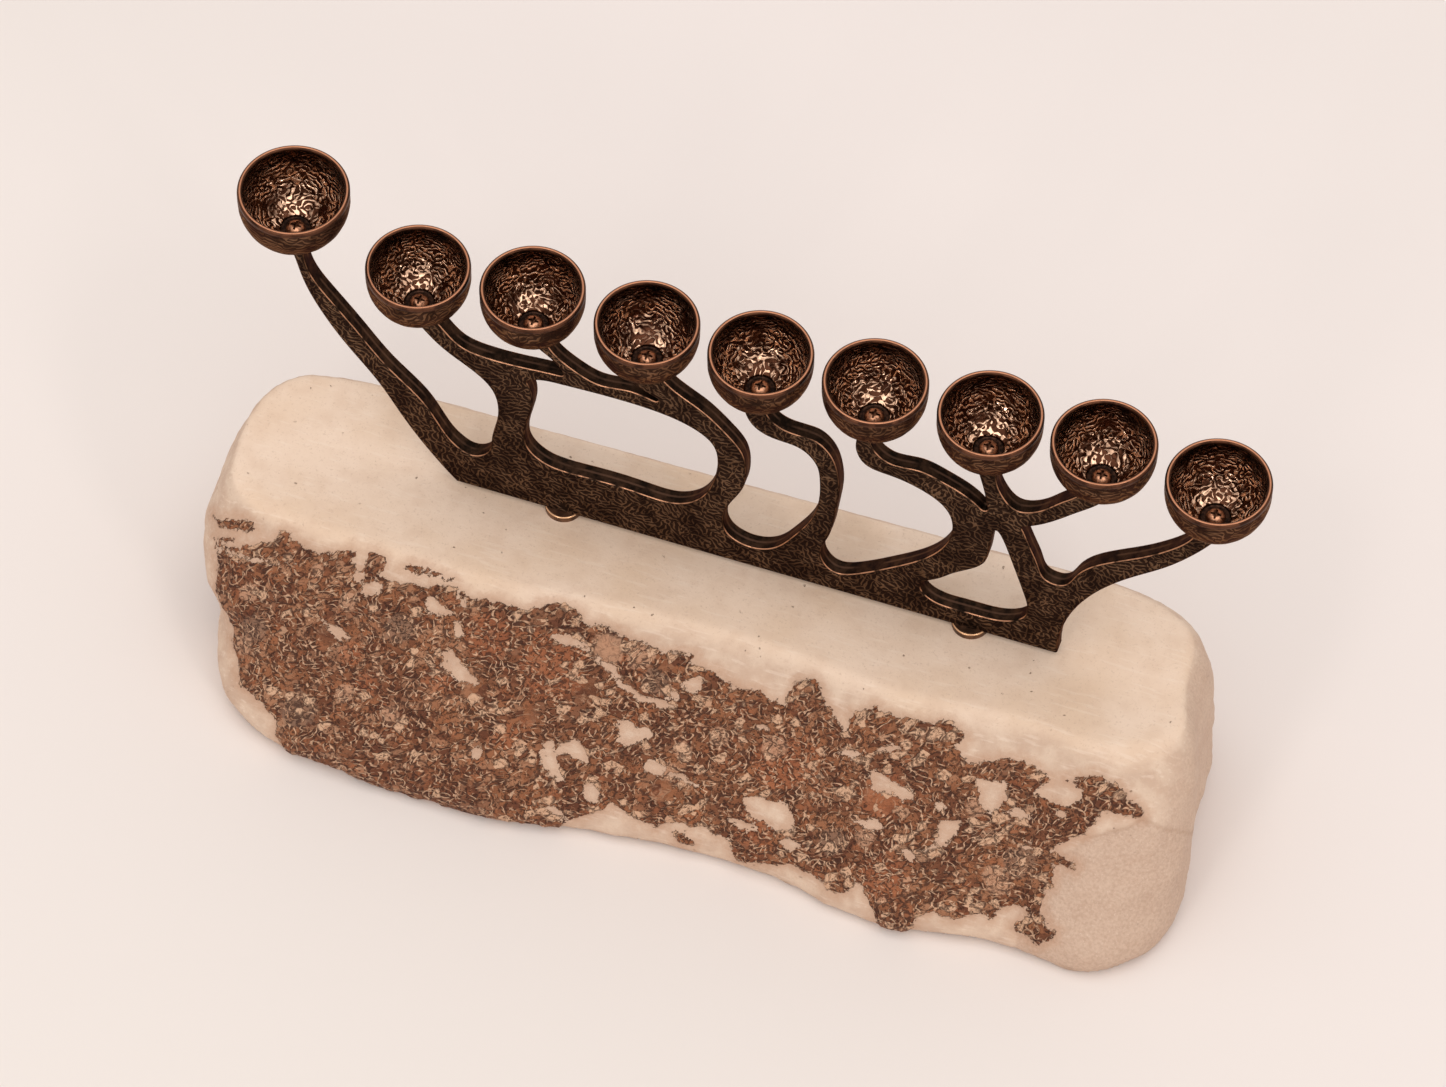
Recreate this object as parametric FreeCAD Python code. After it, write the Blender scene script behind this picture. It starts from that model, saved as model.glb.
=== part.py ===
import FreeCAD, Part
import math
import os

# Nine-light branched candle holder on a block of limestone.
# Millimetres, +Z up, the front towards -Y. The origin is the middle of the whole footprint,
# level with the underside of the felt pads that the block stands on.

os.makedirs("parts", exist_ok=True)
V = FreeCAD.Vector
UP = V(0, 0, 1)
BACK = V(0, 1, 0)
RIGHT = V(1, 0, 0)

# Bowls: a straight collar over a half sphere, measured outside. The server light's is larger.
# The gap is the clear way between two of the eight that stand one cup_pitch apart.
bowl_radius = 21.0
bowl_gap = 5.1
server_radius = 22.3
bowl_wall = 1.8
bowl_collar = 5.8
bowl_floor = 1.4
bowl_foot_radius = 5.0
spot_face_radius = 6.2
rim_bead_radius = 1.1

# Pan head screw that holds each bowl down on its arm.
screw_radius = 2.0
screw_reach = 6.0
screw_tip_chamfer = 0.6
screw_head_radius = 3.95
screw_head_skirt = 0.9
screw_head_height = 2.6
cross_recess_length = 4.4
cross_recess_width = 0.9
cross_recess_depth = 1.5
screw_clearance = 0.25
thread_fit = 0.05
tap_spare = 1.0

# Branched frame, one flat casting. Its outline is written further down in cup_pitch and frame_rise.
cup_pitch = 2 * bowl_radius + bowl_gap
frame_rise = 146.0
frame_thickness = 7.0
frame_edge_round = 1.0
crotch_round = 1.4
seat_half_width = 5.5

# Two round spacers under the frame's foot, a little further back than the frame, and the stud,
# washer and nut that hold the frame down through each of them.
spacer_radius = 7.8
spacer_height = 3.0
spacer_edge_round = 0.8
spacer_set_back = 0.7
stud_radius = 2.0
stud_grip = 6.5
stud_end_spare = 2.0
stud_hole_clearance = 1.0
counterbore_radius = 8.0
counterbore_depth = 24.0
washer_radius = 6.0
washer_thickness = 1.0
washer_bore_clearance = 0.3
nut_across_flats = 7.0
nut_height = 3.2
anchor_x_shares = {"left": -1.77, "right": 1.93}

# Stone block: how far it reaches from the foot of the middle bowl's axis, seen from the front.
stone_left_reach = 229.0
stone_right_reach = 200.8
stone_back_reach = 42.0
stone_front_reach = 102.0
stone_height = 85.0

# Felt pads stuck under the block.
felt_radius = 11.0
felt_thickness = 1.5
felt_length_share = 0.14
felt_front_share = 0.20
felt_back_share = 0.16

# The nine lights from left to right: node name, bowl radius, place along the row in cup_pitch,
# and height of the rim over the mean rim, as a share of frame_rise.
light_shares = [
    ("server", server_radius, -4.12, 0.141),
    ("light_1", bowl_radius, -3.03, -0.052),
    ("light_2", bowl_radius, -2.01, -0.001),
    ("light_3", bowl_radius, -1.00, -0.012),
    ("light_4", bowl_radius, 0.00, -0.003),
    ("light_5", bowl_radius, 1.00, 0.016),
    ("light_6", bowl_radius, 2.00, 0.017),
    ("light_7", bowl_radius, 2.98, 0.032),
    ("light_8", bowl_radius, 3.97, -0.002),
]

# The frame's outline from the left corner of the foot, round over the arms, to the right corner.
# One run leads to each bowl's seat and one back to the foot. A run is one stroke, or two that
# meet in a crease, and a stroke is a smooth line through its points (along, up), along counted in
# cup_pitch from the middle bowl and up in frame_rise from the foot.
foot_left_share = -2.74
foot_right_share = 2.73
run_shares = [
    # outer side of the server light's arm
    [[(-3.00, 0.120), (-3.21, 0.240), (-3.42, 0.375), (-3.70, 0.515), (-3.91, 0.640),
      (-4.07, 0.782), (-4.13, 0.870)]],
    # its inner side, the first bay, and the outer side of arm 1
    [[(-4.03, 0.870), (-3.97, 0.790), (-3.83, 0.712), (-3.57, 0.585), (-3.30, 0.453),
      (-3.00, 0.335), (-2.84, 0.231), (-2.73, 0.175), (-2.58, 0.147), (-2.44, 0.180),
      (-2.39, 0.260), (-2.34, 0.350), (-2.33, 0.425), (-2.39, 0.500), (-2.58, 0.567),
      (-2.80, 0.622), (-2.97, 0.685)]],
    # top of arm 1 to the crease, then the left side of arm 2
    [[(-2.77, 0.705), (-2.63, 0.657), (-2.42, 0.641), (-2.07, 0.645), (-1.72, 0.655)],
     [(-1.78, 0.700), (-1.90, 0.740)]],
    # top of arm 2 to the crease, then the left side of arm 3
    [[(-1.79, 0.745), (-1.60, 0.692), (-1.41, 0.665), (-1.13, 0.676), (-0.92, 0.662),
      (-0.69, 0.645)],
     [(-0.87, 0.676), (-1.09, 0.715)]],
    # outer side of arm 3, the second bay, and the inner side of arm 4
    [[(-0.79, 0.755), (-0.47, 0.673), (-0.28, 0.607), (-0.13, 0.533), (-0.09, 0.450),
      (-0.12, 0.360), (-0.24, 0.262), (-0.29, 0.185), (-0.23, 0.115), (-0.05, 0.088),
      (0.12, 0.105), (0.32, 0.190), (0.49, 0.306), (0.56, 0.420), (0.56, 0.500),
      (0.51, 0.585), (0.37, 0.632), (0.15, 0.643), (0.00, 0.664), (-0.10, 0.715)]],
    # outer side of arm 4, the third bay, and the inner side of arm 5
    [[(0.10, 0.740), (0.22, 0.702), (0.38, 0.694), (0.52, 0.688), (0.63, 0.655),
      (0.72, 0.570), (0.74, 0.480), (0.71, 0.370), (0.65, 0.240), (0.60, 0.135),
      (0.71, 0.084), (0.95, 0.114), (1.23, 0.188), (1.50, 0.272), (1.68, 0.365),
      (1.74, 0.455), (1.66, 0.547), (1.46, 0.597), (1.18, 0.624), (0.97, 0.640),
      (0.87, 0.700), (0.87, 0.750)]],
    # top of arm 5 to the crease, then the left side of arm 6
    [[(1.04, 0.720), (1.17, 0.684), (1.42, 0.688), (1.64, 0.666), (1.85, 0.630),
      (2.04, 0.560)],
     [(2.01, 0.655), (1.95, 0.745)]],
    # the fork between arms 6 and 7
    [[(2.10, 0.750), (2.17, 0.675), (2.30, 0.631), (2.43, 0.645), (2.66, 0.726),
      (2.80, 0.780)]],
    # underside of arm 7 to the crease, then the fork below it and the top of arm 8
    [[(2.98, 0.762), (2.82, 0.702), (2.58, 0.616), (2.34, 0.557)],
     [(2.43, 0.474), (2.51, 0.396), (2.60, 0.336), (2.70, 0.332), (2.84, 0.400),
      (3.04, 0.487), (3.38, 0.575), (3.60, 0.642), (3.79, 0.725)]],
    # underside of arm 8, down to the foot
    [[(3.98, 0.735), (3.81, 0.645), (3.61, 0.561), (3.33, 0.468), (3.06, 0.361),
      (2.88, 0.255), (2.77, 0.145)]],
]

# The two closed windows in the frame, in the same measure.
window_shares = {
    "long window": [(-2.05, 0.572), (-2.01, 0.475), (-2.08, 0.345), (-2.06, 0.262),
                    (-1.91, 0.210), (-1.58, 0.198), (-1.09, 0.197), (-0.71, 0.199),
                    (-0.53, 0.245), (-0.39, 0.350), (-0.35, 0.455), (-0.41, 0.538),
                    (-0.61, 0.588), (-0.94, 0.614), (-1.38, 0.618), (-1.78, 0.612),
                    (-1.97, 0.600)],
    "small window": [(1.56, 0.172), (1.49, 0.128), (1.58, 0.085), (1.88, 0.071),
                     (2.27, 0.086), (2.42, 0.135), (2.40, 0.235), (2.26, 0.394),
                     (2.12, 0.505), (2.08, 0.420), (2.01, 0.318), (1.78, 0.243)],
}

# The stone block's plan at its widest, from the back left corner along the back: shares of the
# length, counted from the left end, and of the depth, counted back to front from where the left
# half's back stands. The right half bulges out behind that, and its shares there are below zero.
stone_plan_shares = [
    (0.045, 0.075), (0.090, 0.035), (0.160, 0.018), (0.300, 0.010), (0.500, -0.004),
    (0.700, -0.024), (0.830, -0.034), (0.904, -0.022), (0.947, 0.038), (0.975, 0.136),
    (0.985, 0.300), (0.990, 0.480), (1.000, 0.660), (0.991, 0.790), (0.968, 0.882),
    (0.932, 0.942), (0.867, 0.925), (0.732, 0.975), (0.614, 0.930), (0.500, 0.925),
    (0.385, 0.966), (0.312, 0.998), (0.215, 0.998), (0.106, 0.978), (0.041, 0.914),
    (0.011, 0.795), (0.001, 0.610), (0.000, 0.430), (0.012, 0.210),
]
# The same outline drawn in at levels from the underside to the polished top: the level as a share
# of the height, the ends of the plan's length, and the ends of its depth, in the same shares.
stone_level_shares = [
    (0.00, (0.044, 0.992), (0.015, 0.985)),
    (0.10, (0.036, 1.000), (0.000, 1.000)),
    (0.22, (0.029, 1.000), (0.000, 0.960)),
    (0.36, (0.027, 0.998), (0.000, 0.900)),
    (0.62, (0.003, 0.995), (0.002, 0.796)),
    (0.80, (0.004, 0.990), (0.005, 0.730)),
    (0.93, (0.014, 0.980), (0.020, 0.660)),
    (1.00, (0.028, 0.960), (0.050, 0.575)),
]

overrun = 1.0
flat_share = 0.001

stone_length = stone_left_reach + stone_right_reach
stone_depth = stone_back_reach + stone_front_reach
stone_top = felt_thickness + stone_height
foot_z = stone_top + spacer_height


def smooth(points, closed=False):
    curve = Part.BSplineCurve()
    curve.interpolate(Points=points, PeriodicFlag=closed)
    return curve.toShape()


def line(start, end):
    return Part.LineSegment(start, end).toShape()


def arc(start, middle, end):
    return Part.Arc(start, middle, end).toShape()


def rod(radius, height, base):
    return Part.makeCylinder(radius, height, base)


def revolved(edges):
    """The solid of a closed half outline in the XZ plane, turned about Z."""
    return Part.Face(Part.Wire(edges)).revolve(V(), UP, 360)


def save(name, solid):
    solid.exportStep("parts/%s.step" % name)
    print("%-24s %10.1f mm3  solids %d  valid %s"
          % (name, solid.Volume, len(solid.Solids), solid.isValid()))


def block_point(length_share, depth_share, height_share):
    """A point of the stone block, seen from the foot of the middle bowl's axis."""
    return V(length_share * stone_length - stone_left_reach,
             stone_back_reach - depth_share * stone_depth,
             felt_thickness + height_share * stone_height)


def make_block():
    """The stone without its holes, drawn smoothly from level to level."""
    sections = []
    for level, (left, right), (back, front) in stone_level_shares:
        points = [block_point(left + (right - left) * along, back + (front - back) * deep, level)
                  for along, deep in stone_plan_shares]
        sections.append(Part.Wire(smooth(points, closed=True)))
    return Part.makeLoft(sections, True)


# Where the middle bowl's axis stands, so that the whole footprint is centred on the origin.
block = make_block()
block_box = block.optimalBoundingBox(False)
row_left = light_shares[0][2] * cup_pitch - light_shares[0][1]
row_right = light_shares[-1][2] * cup_pitch + light_shares[-1][1]
row_x = -(min(block_box.XMin, row_left) + max(block_box.XMax, row_right)) / 2
row_y = -(block_box.YMin + block_box.YMax) / 2


def frame_point(along, up):
    """A point of the frame's front face."""
    return V(row_x + along * cup_pitch, row_y - frame_thickness / 2, foot_z + up * frame_rise)


def bowl_foot_depth(radius):
    """How far the flat under a bowl lies below its rim."""
    return bowl_collar + math.sqrt(radius ** 2 - bowl_foot_radius ** 2)


def rim_centre(light):
    name, radius, along, rise = light
    return V(row_x + along * cup_pitch, row_y, foot_z + (1 + rise) * frame_rise)


def seat_centre(light):
    return rim_centre(light) - UP * bowl_foot_depth(light[1])


def anchor_places():
    return {side: row_x + along * cup_pitch for side, along in anchor_x_shares.items()}


def make_bowl(light):
    """One bowl with its rim bead, and the spot face and hole for its screw."""
    radius = light[1]
    inner = radius - bowl_wall
    foot = bowl_foot_depth(radius)
    floor = foot - bowl_floor
    slant = math.radians(45)
    spot_depth = bowl_collar + math.sqrt(inner ** 2 - spot_face_radius ** 2)
    bead_inside = radius - 2 * rim_bead_radius

    def at(across, below):
        return V(across, 0, -below)

    bowl = revolved([
        line(at(0, foot), at(bowl_foot_radius, foot)),
        arc(at(bowl_foot_radius, foot),
            at(radius * math.cos(slant), bowl_collar + radius * math.sin(slant)),
            at(radius, bowl_collar)),
        line(at(radius, bowl_collar), at(radius, rim_bead_radius)),
        arc(at(radius, rim_bead_radius), at(radius - rim_bead_radius, 0),
            at(bead_inside, rim_bead_radius)),
        line(at(bead_inside, rim_bead_radius), at(inner, 2 * rim_bead_radius)),
        line(at(inner, 2 * rim_bead_radius), at(inner, bowl_collar)),
        arc(at(inner, bowl_collar),
            at(inner * math.cos(slant), bowl_collar + inner * math.sin(slant)),
            at(spot_face_radius, spot_depth)),
        line(at(spot_face_radius, spot_depth), at(spot_face_radius, floor)),
        line(at(spot_face_radius, floor), at(0, floor)),
        line(at(0, floor), at(0, foot)),
    ])
    hole = rod(screw_radius + screw_clearance, bowl_floor + 2 * overrun, at(0, foot + overrun))
    bowl = bowl.cut(hole)
    bowl.translate(rim_centre(light))
    return bowl


def make_bowl_screw(light):
    """The screw whose domed head sits on the spot face inside the bowl."""
    shank = bowl_floor + screw_reach
    slant = math.radians(45)
    crown = screw_head_height - screw_head_skirt

    def at(across, up):
        return V(across, 0, up)

    screw = revolved([
        line(at(0, -shank), at(screw_radius - screw_tip_chamfer, -shank)),
        line(at(screw_radius - screw_tip_chamfer, -shank),
             at(screw_radius, screw_tip_chamfer - shank)),
        line(at(screw_radius, screw_tip_chamfer - shank), at(screw_radius, 0)),
        line(at(screw_radius, 0), at(screw_head_radius, 0)),
        line(at(screw_head_radius, 0), at(screw_head_radius, screw_head_skirt)),
        arc(at(screw_head_radius, screw_head_skirt),
            at(screw_head_radius * math.cos(slant), screw_head_skirt + crown * math.sin(slant)),
            at(0, screw_head_height)),
        line(at(0, screw_head_height), at(0, -shank)),
    ])
    for length, width in ((cross_recess_length, cross_recess_width),
                          (cross_recess_width, cross_recess_length)):
        corner = V(-length / 2, -width / 2, screw_head_height - cross_recess_depth)
        screw = screw.cut(Part.makeBox(length, width, cross_recess_depth + overrun, corner))
    screw.translate(seat_centre(light) + UP * bowl_floor)
    return screw


def frame_outline():
    """The closed line round the frame, from the left corner of its foot and back to it."""
    edges = []
    place = frame_point(foot_left_share, 0)
    for light, strokes in zip(light_shares + [None], run_shares):
        points = []
        for stroke in strokes:
            points = [place] + [frame_point(*share) for share in stroke]
            place = points[-1]
            edges.append(points)
        if light:
            seat = seat_centre(light) - BACK * (frame_thickness / 2)
            points.append(seat - RIGHT * seat_half_width)
            place = seat + RIGHT * seat_half_width
            edges.append([points[-1], place])
        else:
            points.append(frame_point(foot_right_share, 0))
            edges.append([points[-1], frame_point(foot_left_share, 0)])
    return Part.Wire([smooth(points) if len(points) > 2 else line(*points) for points in edges])


def make_frame():
    """The flat branched casting, with its edges rounded and its screw holes."""
    outlines = [frame_outline()]
    for shares in window_shares.values():
        outlines.append(Part.Wire(smooth([frame_point(*share) for share in shares], closed=True)))
    plate = Part.Face(outlines, "Part::FaceMakerBullseye").extrude(BACK * frame_thickness)
    flat = flat_share * frame_thickness

    def is_across(edge):
        return edge.BoundBox.XLength < flat and edge.BoundBox.ZLength < flat

    creases = []
    for strokes in run_shares:
        if len(strokes) == 2:
            corner = Part.Vertex(frame_point(*strokes[0][-1]))
            creases.append(min(filter(is_across, plate.Edges),
                               key=lambda edge: edge.distToShape(corner)[0]))
    plate = plate.makeFillet(crotch_round, creases)
    rims = [edge for edge in plate.Edges
            if edge.BoundBox.YLength < flat and edge.BoundBox.ZMax > foot_z + flat]
    plate = plate.makeFillet(frame_edge_round, rims)
    for light in light_shares:
        depth = screw_reach + tap_spare
        base = seat_centre(light) - UP * depth
        plate = plate.cut(rod(screw_radius + thread_fit, depth + overrun, base))
    for x in anchor_places().values():
        base = V(x, row_y, foot_z - overrun)
        plate = plate.cut(rod(stud_radius + thread_fit, stud_grip + tap_spare + overrun, base))
    return plate


def make_spacer(x):
    disc = rod(spacer_radius, spacer_height, V(x, row_y + spacer_set_back, stone_top))
    top_edge = [edge for edge in disc.Edges
                if edge.BoundBox.ZMin > stone_top + spacer_height / 2]
    disc = disc.makeFillet(spacer_edge_round, top_edge)
    return disc.cut(rod(stud_radius + washer_bore_clearance, spacer_height + 2 * overrun,
                        V(x, row_y, stone_top - overrun)))


def washer_roof():
    """The roof of the counterbore under the block, which the washer bears on."""
    return felt_thickness + counterbore_depth


def make_stud(x):
    low = washer_roof() - washer_thickness - nut_height - stud_end_spare
    high = foot_z + stud_grip
    stud = rod(stud_radius, high - low, V(x, row_y, low))
    ends = [edge for edge in stud.Edges if edge.BoundBox.ZLength < flat_share * stud_radius]
    return stud.makeChamfer(screw_tip_chamfer, ends)


def make_washer(x):
    base = V(x, row_y, washer_roof() - washer_thickness)
    bore = rod(stud_radius + washer_bore_clearance, washer_thickness + 2 * overrun,
               base - UP * overrun)
    return rod(washer_radius, washer_thickness, base).cut(bore)


def make_nut(x):
    base = V(x, row_y, washer_roof() - washer_thickness - nut_height)
    corner_radius = nut_across_flats / 2 / math.cos(math.radians(30))
    corners = [base + V(corner_radius * math.cos(math.radians(60 * k)),
                        corner_radius * math.sin(math.radians(60 * k)), 0) for k in range(7)]
    body = Part.Face(Part.makePolygon(corners)).extrude(UP * nut_height)
    bore = rod(stud_radius + thread_fit, nut_height + 2 * overrun, base - UP * overrun)
    return body.cut(bore)


def make_stone():
    """The block with its two stepped holes for the studs."""
    stone = block.translated(V(row_x, row_y, 0))
    for x in anchor_places().values():
        base = V(x, row_y, felt_thickness - overrun)
        stone = stone.cut(rod(counterbore_radius, counterbore_depth + overrun, base))
        stone = stone.cut(rod(stud_radius + stud_hole_clearance, stone_height + 2 * overrun, base))
    return stone


def make_felt(length_share, depth_share):
    place = block_point(length_share, depth_share, 0) + V(row_x, row_y, -felt_thickness)
    return rod(felt_radius, felt_thickness, place)


save("stone_base", make_stone())
save("branch_frame", make_frame())
for light in light_shares:
    save("%s_bowl" % light[0], make_bowl(light))
save("bowl_screws", Part.makeCompound([make_bowl_screw(light) for light in light_shares]))
for side, x in anchor_places().items():
    save("foot_spacer_%s" % side, make_spacer(x))
save("anchor_studs", Part.makeCompound([make_stud(x) for x in anchor_places().values()]))
save("anchor_washers", Part.makeCompound([make_washer(x) for x in anchor_places().values()]))
save("anchor_nuts", Part.makeCompound([make_nut(x) for x in anchor_places().values()]))
for side, length_share in (("left", felt_length_share), ("right", 1 - felt_length_share)):
    save("felt_pad_front_%s" % side, make_felt(length_share, 1 - felt_front_share))
    save("felt_pad_back_%s" % side, make_felt(length_share, felt_back_share))
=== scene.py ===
import math

import bmesh
import bpy
from mathutils import Matrix, Vector, noise


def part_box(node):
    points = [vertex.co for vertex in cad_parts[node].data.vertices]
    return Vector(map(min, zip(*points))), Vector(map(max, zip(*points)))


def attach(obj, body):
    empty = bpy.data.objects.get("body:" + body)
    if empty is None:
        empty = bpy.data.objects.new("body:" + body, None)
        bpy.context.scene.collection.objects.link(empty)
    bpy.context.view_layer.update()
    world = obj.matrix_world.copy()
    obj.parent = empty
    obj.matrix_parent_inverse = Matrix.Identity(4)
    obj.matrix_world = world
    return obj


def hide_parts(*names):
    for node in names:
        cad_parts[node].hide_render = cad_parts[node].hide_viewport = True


# A branched bronze candle holder with nine bowls on a block of limestone.
# Metres, +Z up, the front towards -Y.

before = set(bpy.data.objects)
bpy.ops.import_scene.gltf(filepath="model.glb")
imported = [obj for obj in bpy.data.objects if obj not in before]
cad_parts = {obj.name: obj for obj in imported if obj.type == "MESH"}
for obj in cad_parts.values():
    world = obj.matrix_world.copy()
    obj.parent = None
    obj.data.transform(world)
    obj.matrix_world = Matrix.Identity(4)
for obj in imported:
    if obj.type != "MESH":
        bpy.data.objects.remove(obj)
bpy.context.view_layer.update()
MM = 0.001
MM_PER_METRE = 1000


def paint(red, green, blue):
    """A colour as a screen shows it, each part 0 to 255, in the measure that shaders take."""
    return tuple(((part / 255 + 0.055) / 1.055) ** 2.4 for part in (red, green, blue)) + (1.0,)


class Shade:
    """A shader socket that arithmetic can be done on."""

    def __init__(self, finish, socket):
        self.finish = finish
        self.socket = socket

    def math(self, operation, *others):
        """One step of arithmetic on this socket and the others."""
        return self.finish.node("Math", {"operation": operation}, (self,) + others)

    def __add__(self, other):
        return self.math("ADD", other)

    def __sub__(self, other):
        return self.math("SUBTRACT", other)

    def __rsub__(self, other):
        return self.finish.node("Math", {"operation": "SUBTRACT"}, (other, self))

    def __mul__(self, other):
        return self.math("MULTIPLY", other)

    def __abs__(self):
        return self.math("ABSOLUTE")

    __radd__ = __add__
    __rmul__ = __mul__

    def ramp(self, start, end):
        """0 up to start, 1 from end on, and smooth between them; start may be the larger."""
        return self.finish.node("MapRange", {"interpolation_type": "SMOOTHSTEP"},
                                {"Value": self, "From Min": start, "From Max": end})

    def least(self, other):
        return self.math("MINIMUM", other)

    def most(self, other):
        return self.math("MAXIMUM", other)


class Finish:
    """A material that is built up from nodes."""

    def __init__(self, name):
        self.material = bpy.data.materials.new(name)
        self.material.use_nodes = True
        self.tree = self.material.node_tree
        self.tree.nodes.clear()
        self.place = self.node("TexCoord", output="Object")

    def node(self, kind, settings=None, inputs=(), output=0):
        """A new node of this kind, its settings made before its inputs; gives one output."""
        made = self.tree.nodes.new("ShaderNode" + kind)
        for key, value in (settings or {}).items():
            setattr(made, key, value)
        for key, value in (inputs.items() if isinstance(inputs, dict) else enumerate(inputs)):
            if isinstance(value, Shade):
                self.tree.links.new(value.socket, made.inputs[key])
            else:
                made.inputs[key].default_value = value
        return Shade(self, made.outputs[output]) if made.outputs else None

    def split(self, vector, axes="XYZ"):
        """The parts of a vector along the axes that are named."""
        outputs = self.node("SeparateXYZ", inputs=(vector,)).socket.node.outputs
        return [Shade(self, outputs[axis]) for axis in axes]

    def facing(self, axes):
        """How much the surface faces along the axes that are named, from -1 to 1."""
        return self.split(self.node("TexCoord", output="Normal"), axes)

    def mix(self, factor, first, second):
        """The first colour where factor is 0, the second where it is 1."""
        return self.node("Mix", {"data_type": "RGBA", "clamp_factor": True},
                         {0: factor, 6: first, 7: second}, output=2)

    def noise(self, size, detail=2.0, place=None, roughness=0.5):
        """Noise whose lumps are about size across."""
        return self.node("TexNoise", inputs={
            "Vector": place or self.place, "Scale": 1 / size, "Detail": detail,
            "Roughness": roughness})

    def cells(self, size, feature="F1", place=None):
        """Cells about size across: how far the place lies from a cell's middle, or its edge."""
        return self.node("TexVoronoi", {"feature": feature}, {
            "Vector": place or self.place, "Scale": 1 / size})

    def grains(self, size, place):
        """A tone of its own for each of the cells."""
        tone = self.node("TexVoronoi", inputs={"Vector": place, "Scale": 1 / size}, output="Color")
        return self.node("SeparateColor", inputs=(tone,))

    def bent(self, size, reach, place=None):
        """The place, pushed about by noise."""
        place = place or self.place
        push = self.node("TexNoise", inputs={"Vector": place, "Scale": 1 / size,
                                             "Detail": 1.0}, output="Color")
        push = self.node("VectorMath", {"operation": "SUBTRACT"}, (push, (0.5, 0.5, 0.5)))
        push = self.node("VectorMath", {"operation": "SCALE"}, {0: push, "Scale": 2 * reach})
        return self.node("VectorMath", {"operation": "ADD"}, (place, push))

    def moved(self, place, offset):
        """The place, shifted in metres."""
        return self.node("VectorMath", {"operation": "ADD"}, (place, offset))

    def bands(self, length, place, kind):
        """Winding bands, one every length or so: 0 to 1 from one side of a band to the other."""
        per_cell = 2.0
        return self.node("TexGabor", {"gabor_type": kind}, {
            "Vector": place, "Scale": 1 / (length * per_cell), "Frequency": per_cell,
            "Anisotropy": 0.0}, output="Phase")

    @staticmethod
    def drawn(aside, share):
        """A line with soft sides where aside is near zero, share wide, both counted in bands."""
        half = share / 2
        return aside.ramp(1.4 * half, 0.7 * half)

    def strokes(self, length, thick, place):
        """Winding lines along the bands' middles."""
        return self.drawn(abs(self.bands(length, place, "2D") - 0.5), thick / length)

    def loops(self, length, thick, place, kind="2D"):
        """Lines on both sides of the bands' middles, that run side by side and turn round."""
        middle = abs(self.bands(length, place, kind) - 0.5)
        return self.drawn(abs(middle - 0.25), thick / length)

    def tangle(self, length, thick, place):
        """Loops with shorter strokes across them here and there."""
        across = self.bent(length, length / 4, self.moved(place, (0.31, 0.17, 0.0)))
        broken = self.noise(length, 1.0, place).ramp(0.44, 0.52)
        strokes = self.strokes(length * 3 / 4, thick, across) * broken
        return self.loops(length, thick, place).most(strokes)

    def bump(self, height, depth):
        """A normal for relief that is depth high where height is 1."""
        return self.node("Bump", inputs={"Height": height, "Distance": depth, "Strength": 1.0})

    def surface(self, **inputs):
        """The shader; a name's underscores stand for spaces."""
        shader = self.node("BsdfPrincipled",
                           inputs={key.replace("_", " "): value for key, value in inputs.items()})
        self.node("OutputMaterial", inputs=(shader,))
        return self.material


# Finishes

# The relief's lines: how far one is from the next, and how wide it is.
frame_lines = (4.1 * MM, 0.52 * MM)
outside_lines = (3.4 * MM, 0.6 * MM)
inside_lines = (2.9 * MM, 0.55 * MM)
crust_worms = (4.4 * MM, 0.5 * MM)
# The crust's grains, and how far its edge frays and is stained, in millimetres.
crust_grain = 3.9 * MM
edge_fray, grain_fray, stain_reach = 6.4, 1.2, 6.0
# How many fine scratches lie to a metre of the stone along each axis.
scratches = (90.0, 620.0, 620.0)
# How high the bumps are.
frame_relief = 0.40 * MM
outside_relief = 0.26 * MM
inside_relief = 0.17 * MM
spot_relief = 0.08 * MM
rim_relief = 0.05 * MM
screw_relief = 0.10 * MM
spacer_relief = 0.05 * MM
zinc_relief = 0.03 * MM
felt_relief = 0.5 * MM
stone_relief = 0.9 * MM
# What metal reflects at a grazing look.
edge_tint = paint(206, 172, 146)


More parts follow.
